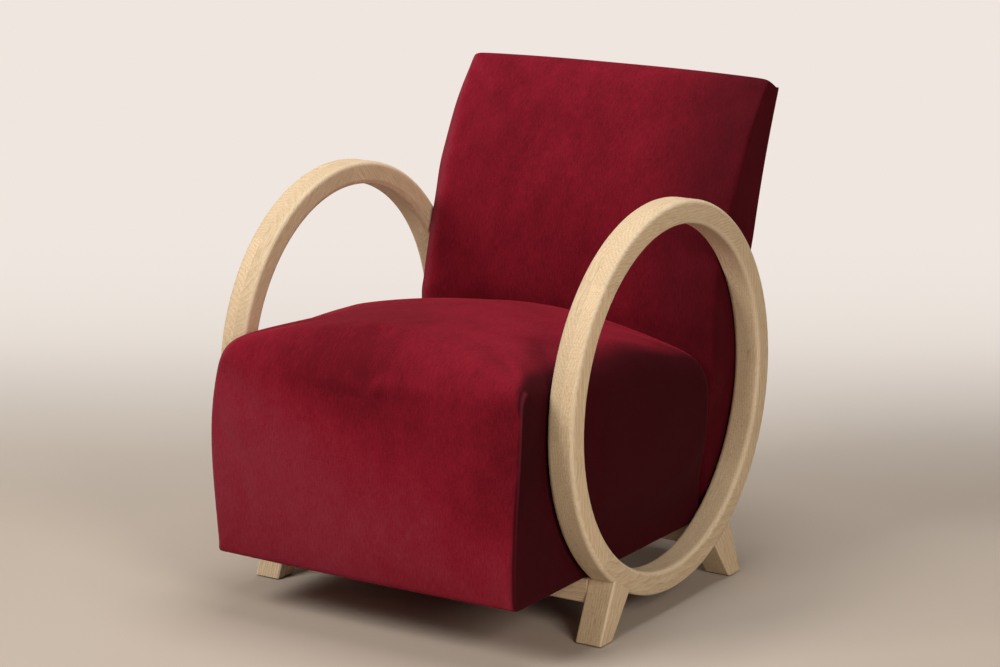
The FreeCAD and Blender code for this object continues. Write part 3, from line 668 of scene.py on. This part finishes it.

# %% Seat seams and painted light
SEAM_PINCH = 0.77 * MM
SEAM_HIGHLIGHT_FAINT, SEAM_HIGHLIGHT_CLEAR = 0.15, 0.45
SEAT_SHADE = 0.88
SHADE_EDGE, SHADE_FULL = 12 * MM, 2 * MM
SHADE_FRONT, SHADE_BEHIND = 30 * MM, 70 * MM
SEAT_EDGE_HIGHLIGHT = 0.4
LOWER_SEAT_SHEEN = 0.16
SHEEN_FADE_LOW, SHEEN_FADE_HIGH = 280 * MM, 420 * MM
SHEEN_FADE_SLANT = 0.25
places = places_of(seat)
painted_light_and_shade = np.zeros((len(places), 3))
# Each dart seam is pinched in and given a painted highlight that grows clearer towards its top.
for column in seam_columns:
    line = seam_rows[:, column]
    inward = np.column_stack([-np.sign(places[line, 0]), np.ones(len(line)), np.zeros(len(line))])
    places[line] += inward * SEAM_PINCH
    painted_light_and_shade[line, 2] = np.linspace(SEAM_HIGHLIGHT_FAINT, SEAM_HIGHLIGHT_CLEAR, len(line)) ** 1.5
put_places(seat, places)
# Painted shade: the +X side of the seat is darkened, from its normals and from how close a vertex lies to the
# +X side behind the front corner.
painted_right_shade = smooth_step(places[:, 0], seat_half - SHADE_EDGE, seat_half - SHADE_FULL)
painted_right_shade *= smooth_step(places[:, 1], seat_front + SHADE_FRONT, seat_front + SHADE_BEHIND)
painted_light_and_shade[:, 1] = np.maximum(painted_side_shade(seat, SEAT_SHADE), SEAT_SHADE * painted_right_shade)
# Painted sheen: the lower seat is made lighter and greyer, reaching higher on the -X side, fading out towards
# the top; the -X shoulder gets a painted highlight.
sheen_fade = smooth_step(places[:, 2] + SHEEN_FADE_SLANT * places[:, 0], SHEEN_FADE_LOW, SHEEN_FADE_HIGH)
painted_light_and_shade[:, 0] = LOWER_SEAT_SHEEN * (1 - sheen_fade) + painted_edge_highlight(seat, SEAT_EDGE_HIGHLIGHT)
# A painted patch is a place on the cover, its size, and how far it lightens the velvet as painted light or
# darkens it as painted shade.
painted_patches = [
    (0.06, -0.40, 0.37, 0.14, -0.16), (-0.24, -0.40, 0.27, 0.12, 0.10), (0.00, -0.40, 0.21, 0.12, 0.08),
    (0.25, -0.40, 0.25, 0.08, -0.22), (0.14, -0.40, 0.14, 0.10, -0.06), (-0.17, -0.16, 0.46, 0.16, -0.22),
    (0.29, -0.40, 0.36, 0.09, -0.22), (-0.06, -0.36, 0.44, 0.12, -0.18), (-0.21, -0.29, 0.45, 0.11, -0.14),
]
for x, y, z, size, change in painted_patches:
    distance = np.linalg.norm(places - (x, y, z), axis=1) / size
    painted_light_and_shade[:, 0] += change * np.exp(-distance ** 2)
dress(seat, painted_light_and_shade, 0.9, "seat_cover", "seat_foam")
print("seat dressed")

# %% [markdown]
# ## The back
#
# The back rises straight behind the seat, then leans and swells to the rear, with a tilted top
# and a hollow rear. Its cover turns over the front edges with a soft round corner. A separate
# panel closes it from behind, held by a hand-sewn edge.

# %% Back
back_low, back_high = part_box("back_cover")
BACK_BREAK = 425 * MM
BACK_REAR_TOP = 797 * MM
BACK_TOP_DEPTH = 44 * MM
BACK_HOLLOW = -40 * MM
BACK_COUNTS = (92, 9, 92, 9)
PANEL = 4 * MM
ARM_CLEAR = 3 * MM
BESIDE_ARM = 8 * MM
ARM_REACH = 80 * MM
EASE_LOW, EASE_HIGH = 180 * MM, 80 * MM
TOP_CORNER_WIDE = 28 * MM
TOP_CORNER_DEEP = 6 * MM
TOP_CORNER_TALL = 80 * MM
TOP_CORNER_FRONT, TOP_CORNER_REAR = 60 * MM, 20 * MM
TOP_RISE = 3 * MM
TOP_SHOULDER = 4 * MM
FRONT_SHOULDER = 14 * MM
TIGHTER_LOW, TIGHTER_HIGH = 160 * MM, 10 * MM
FRONT_BOW = 33 * MM
BACK_CROWN = 12 * MM
SHOULDER_SPREAD = 2.6
BACK_FOOT_DEPTH = 97 * MM
BEHIND_SEAT_DEPTH = 12 * MM
BEHIND_SEAT_DROP = 20 * MM
BACK_PRESSURE = 2.0
BACK_SWELL = 8 * MM
BACK_PAINTED_DIM = -0.16
BACK_EDGE_HIGHLIGHT = 0.5
BACK_SIDE_SHADE = 0.6
BACK_SHADE = 0.62
BACK_SHADE_FROM, BACK_SHADE_TO = 80 * MM, 270 * MM
rear_foot = back_low.y + BACK_FOOT_DEPTH


def ease_sides(piece):
    """Swell the sides of the back, most where no arm stands beside them, and round its top corners."""
    places = places_of(piece)
    from_axis = np.hypot(places[:, 1] - axis[1], places[:, 2] - axis[2])
    clear = np.maximum(ring_hole - from_axis, from_axis - ring_rim)
    sideways = ARM_CLEAR + (BESIDE_ARM - ARM_CLEAR) * smooth_step(clear, 0, ARM_REACH)
    sideways *= smooth_step(places[:, 2], BACK_BREAK - EASE_LOW, BACK_BREAK - EASE_HIGH)
    off_middle = np.abs(places[:, 0])
    round_off = np.clip((off_middle - back_high.x + TOP_CORNER_WIDE) / TOP_CORNER_WIDE, 0, 1)
    near_top = smooth_step(places[:, 2], BACK_REAR_TOP - TOP_CORNER_TALL, BACK_REAR_TOP)
    near_top *= 1 - smooth_step(places[:, 1], back_high.y - TOP_CORNER_FRONT, back_high.y - TOP_CORNER_REAR)
    places[:, 2] -= TOP_CORNER_DEEP * (1 - np.sqrt(1 - round_off ** 2)) * near_top
    places[:, 0] += sideways * np.sign(places[:, 0]) * (off_middle / back_high.x) ** OUTWARD_POWER
    put_places(piece, places)


back_corners = [
    (back_low.y, back_low.z, 5 * MM, 0, FRONT_SHOULDER, 0),
    (back_low.y, BACK_BREAK, 60 * MM, FRONT_BOW, FRONT_SHOULDER, BACK_CROWN),
    (back_high.y - BACK_TOP_DEPTH, back_high.z + TOP_RISE, 14 * MM, 0, TOP_SHOULDER, 2 * MM),
    (back_high.y - PANEL, BACK_REAR_TOP, 2 * MM, BACK_HOLLOW, 1.5 * MM, 0),
    (rear_foot - PANEL, back_low.z, 2 * MM, 0, 4 * MM, 0),
]
back_dense, back_middles = dense_loop(back_corners)
back_loop = spans_of(back_dense, [back_middles[n] for n in (0, 2, 3, 4)], BACK_COUNTS)
tighter = smooth_step(back_loop[:, 1], back_high.z - TIGHTER_LOW, back_high.z - TIGHTER_HIGH)
back_loop[:, 2] = np.minimum(back_loop[:, 2], FRONT_SHOULDER + (TOP_SHOULDER - FRONT_SHOULDER) * tighter)
back, back_strip = cover_mesh("velvet_back", back_loop, BACK_COUNTS, back_high.x, COLUMNS, SHOULDER_SPREAD)
places = places_of(back)
held = np.zeros(len(places))
held[places[:, 2] < seat_low.z + HEM] = 1.0
held[np.abs(places[:, 0]) > back_high.x - ARM_PRESS] = 1.0
held[back_strip[BACK_COUNTS[0] + BACK_COUNTS[1] - 2:].ravel()] = 1.0
behind_seat = places[:, 1] < back_low.y + BEHIND_SEAT_DEPTH
held[behind_seat & (places[:, 2] < BACK_BREAK - BEHIND_SEAT_DROP)] = 1.0
swell(back, held, BACK_PRESSURE, BACK_SWELL)
ease_sides(back)
places = places_of(back)
painted_light_and_shade = np.zeros((len(places), 3))
# Painted shade: the whole back is made darker than the seat; its -X shoulder gets a painted highlight.
painted_light_and_shade[:, 0] = BACK_PAINTED_DIM + painted_edge_highlight(back, BACK_EDGE_HIGHLIGHT)
# Painted shade: the back darkens towards its +X side, away from the lamp, and on its +X side panel.
painted_shade_to_right = BACK_SHADE * smooth_step(places[:, 0], BACK_SHADE_FROM, BACK_SHADE_TO)
painted_light_and_shade[:, 1] = np.maximum(painted_side_shade(back, BACK_SIDE_SHADE), painted_shade_to_right)
dress(back, painted_light_and_shade, 0.9, "back_cover", "back_foam")
print("back cover with", len(places), "vertices")

# %% Outside back
PANEL_TILT = 1.7 * MM
PANEL_COUNTS = (92, 3, 92, 3)
panel_corners = [
    (rear_foot - PANEL, back_low.z, 0.5 * MM, -BACK_HOLLOW, 0.5 * MM, 0),
    (back_high.y - PANEL, BACK_REAR_TOP, 0.5 * MM, 0, 0.5 * MM, 0),
    (back_high.y, BACK_REAR_TOP - PANEL_TILT, 2 * MM, BACK_HOLLOW, 2 * MM, 0),
    (rear_foot, back_low.z, 2 * MM, 0, 1 * MM, 0),
]
panel_loop = spans_of(*dense_loop(panel_corners), PANEL_COUNTS)
panel_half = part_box("outside_back")[1].x
panel = cover_mesh("velvet_outside_back", panel_loop, PANEL_COUNTS, panel_half, COLUMNS)[0]
ease_sides(panel)
painted_light_and_shade = np.zeros((len(panel.data.vertices), 3))
# Painted shade: the outside back is darkened all over.
painted_light_and_shade[:, 1] = BACK_SHADE
dress(panel, painted_light_and_shade, 0.3, "outside_back")
print("outside back with", len(panel.data.vertices), "vertices")

# %% [markdown]
# ## The dust cover
#
# A thin black spunbond cloth is stapled under the seat and sags a little between the rails.

# %% Dust cover
dust_low, dust_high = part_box("seat_dust_cover")
DUST_STEPS = 48
DUST_SAG = 0.9 * MM
dust_size = (dust_high.x - dust_low.x, dust_high.y - dust_low.y)
shares = np.linspace(0, 1, DUST_STEPS + 1)
across, along = np.meshgrid(shares, shares, indexing="ij")
sag = DUST_SAG * np.sin(math.pi * across) * np.sin(3 * math.pi * along) ** 2
dust_places = np.stack([dust_low.x + dust_size[0] * across, dust_low.y + dust_size[1] * along,
                        dust_high.z - sag], -1).reshape(-1, 3)
number = np.arange((DUST_STEPS + 1) ** 2).reshape(DUST_STEPS + 1, DUST_STEPS + 1)
dust_faces = [(int(number[i, j]), int(number[i, j + 1]), int(number[i + 1, j + 1]), int(number[i + 1, j]))
              for i in range(DUST_STEPS) for j in range(DUST_STEPS)]
dust_mesh = bpy.data.meshes.new("dust_cover")
dust_mesh.from_pydata(dust_places.tolist(), [], dust_faces)
dust_mesh.polygons.foreach_set("use_smooth", [True] * len(dust_faces))
dust_mesh.materials.append(hidden["dust_cover"])
dust = bpy.data.objects.new("dust_cover", dust_mesh)
bpy.context.scene.collection.objects.link(dust)
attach(dust, "root")
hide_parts("seat_dust_cover")
print("dust cover", round(dust_size[0], 3), "by", round(dust_size[1], 3), "m")

# %% [markdown]
# ## Studio
#
# A pale floor runs up into a pale backdrop in one sweep. A large soft lamp stands high on the
# left and in front, a weaker one fills from the right, a third hangs above, and the world gives a
# low even light. The paper turns paler with distance, for the camera alone, so that this adds no
# light. It is clear from behind, so that the chair can be looked at from every side.

# %% Floor and backdrop
SWEEP_RADIUS = 0.5
SWEEP_BACK = 2.0
SWEEP_FRONT = -7.0
SWEEP_HEIGHT = 5.0
SWEEP_HALF = 9
CAMERA_TURN = math.radians(32.66)
WALL_TINT = colour("EFE6DF")
WALL_BEGINS, WALL_FULL = 0.3, 2.1
FAR_BEGINS, FAR_FULL = 2.0, 3.6
profile = [(SWEEP_FRONT, 0.0)]
profile += [(SWEEP_BACK - SWEEP_RADIUS + SWEEP_RADIUS * math.sin(t), SWEEP_RADIUS * (1 - math.cos(t)))
            for t in np.linspace(0, math.pi / 2, 16)]
profile += [(SWEEP_BACK, SWEEP_HEIGHT)]
right = np.array([math.cos(CAMERA_TURN), math.sin(CAMERA_TURN)])
ahead = np.array([-math.sin(CAMERA_TURN), math.cos(CAMERA_TURN)])
sweep_places = [(*(x * right + y * ahead), z) for x in (-SWEEP_HALF, SWEEP_HALF) for y, z in profile]
steps = len(profile)
sweep_faces = [(n, n + 1, n + 1 + steps, n + steps) for n in range(steps - 1)]
sweep_mesh = bpy.data.meshes.new("studio_sweep")
sweep_mesh.from_pydata(sweep_places, [], [face[::-1] for face in sweep_faces])
sweep_mesh.polygons.foreach_set("use_smooth", [True] * len(sweep_faces))
sweep = bpy.data.objects.new("studio_sweep", sweep_mesh)
bpy.context.scene.collection.objects.link(sweep)
paper, paper_tree, paper_shader = new_material("matt_paper")
paper_shader.inputs["Base Color"].default_value = colour("B4ACA4")
paper_shader.inputs["Roughness"].default_value = 0.95
place = add(paper_tree, "TexCoord").outputs["Object"]
away = add(paper_tree, "VectorMath", {0: place, 1: (*ahead, 1)}, operation="DOT_PRODUCT").outputs["Value"]
seen = add(paper_tree, "LightPath").outputs["Is Camera Ray"]
lift = add(paper_tree, "MapRange", {"Value": away, "From Min": WALL_BEGINS, "From Max": WALL_FULL},
           interpolation_type="SMOOTHSTEP")
distance = add(paper_tree, "VectorMath", {0: place}, operation="LENGTH").outputs["Value"]
far = add(paper_tree, "MapRange", {"Value": distance, "From Min": FAR_BEGINS, "From Max": FAR_FULL},
          interpolation_type="SMOOTHSTEP")
lift = add(paper_tree, "Math", {0: lift.outputs[0], 1: far.outputs[0]}, operation="MAXIMUM").outputs[0]
lift = add(paper_tree, "Math", {0: lift, 1: seen}, operation="MULTIPLY").outputs[0]
glow = add(paper_tree, "Emission", {"Color": WALL_TINT, "Strength": 1.0}).outputs[0]
mixed = add(paper_tree, "MixShader", {0: lift, 1: paper_shader.outputs[0], 2: glow}).outputs[0]
behind = add(paper_tree, "NewGeometry").outputs["Backfacing"]
clear = add(paper_tree, "BsdfTransparent").outputs[0]
one_sided = add(paper_tree, "MixShader", {0: behind, 1: mixed, 2: clear}).outputs[0]
paper_tree.links.new(one_sided, paper_tree.nodes["Material Output"].inputs["Surface"])
sweep_mesh.materials.append(paper)
print("backdrop with", len(sweep_faces), "faces")

# %% Lamps and world
def lamp(name, place, target, size, power, tint):
    """A square soft lamp at a place, turned to a target."""
    light = bpy.data.lights.new(name, "AREA")
    light.size = size
    light.energy = power
    light.color = colour(tint)[:3]
    holder = bpy.data.objects.new(name, light)
    bpy.context.scene.collection.objects.link(holder)
    away = np.array(place) - np.array(target)
    flat = math.hypot(away[0], away[1])
    holder.location = place
    holder.rotation_euler = (math.atan2(flat, away[2]), 0, math.atan2(away[0], -away[1]))


lamp("key", (-1.5, -2.8, 2.9), (0, 0, 0.35), 1.6, 106, "FFF6EA")
lamp("fill", (3.2, -2.0, 1.9), (0.1, 0, 0.35), 1.5, 76, "FFEEDC")
lamp("top", (0.1, 0.3, 3.4), (0, 0, 0.4), 1.6, 62, "FFFAF4")
world = bpy.data.worlds.new("studio_world")
bpy.context.scene.world = world
world.use_nodes = True
sky = world.node_tree
dim = sky.nodes["Background"]
dim.inputs["Color"].default_value = colour("F2EEE8")
dim.inputs["Strength"].default_value = 0.06
pale = add(sky, "Background", {"Color": WALL_TINT, "Strength": 1.0}).outputs[0]
seen = add(sky, "LightPath").outputs["Is Camera Ray"]
shown = add(sky, "MixShader", {0: seen, 1: dim.outputs[0], 2: pale}).outputs[0]
sky.links.new(shown, sky.nodes["World Output"].inputs["Surface"])

# %% [markdown]
# ## Camera
#
# The camera stands where the photographer stood, to the sitter's left of the front and at about
# the height of the eyes, with a long lens.

# %% Camera
CAMERA_PLACE = (2.5821, -4.0338, 1.576)
CAMERA_DIP = 13.64
CAMERA_LENS = 107.12
view = bpy.data.cameras.new("camera")
view.sensor_width = 36
view.lens = CAMERA_LENS
camera = bpy.data.objects.new("camera", view)
bpy.context.scene.collection.objects.link(camera)
camera.location = CAMERA_PLACE
camera.rotation_euler = (math.radians(90 - CAMERA_DIP), 0, CAMERA_TURN)
bpy.context.scene.camera = camera
bpy.context.scene.view_settings.view_transform = "Standard"
print("camera at", tuple(round(v, 3) for v in camera.location))
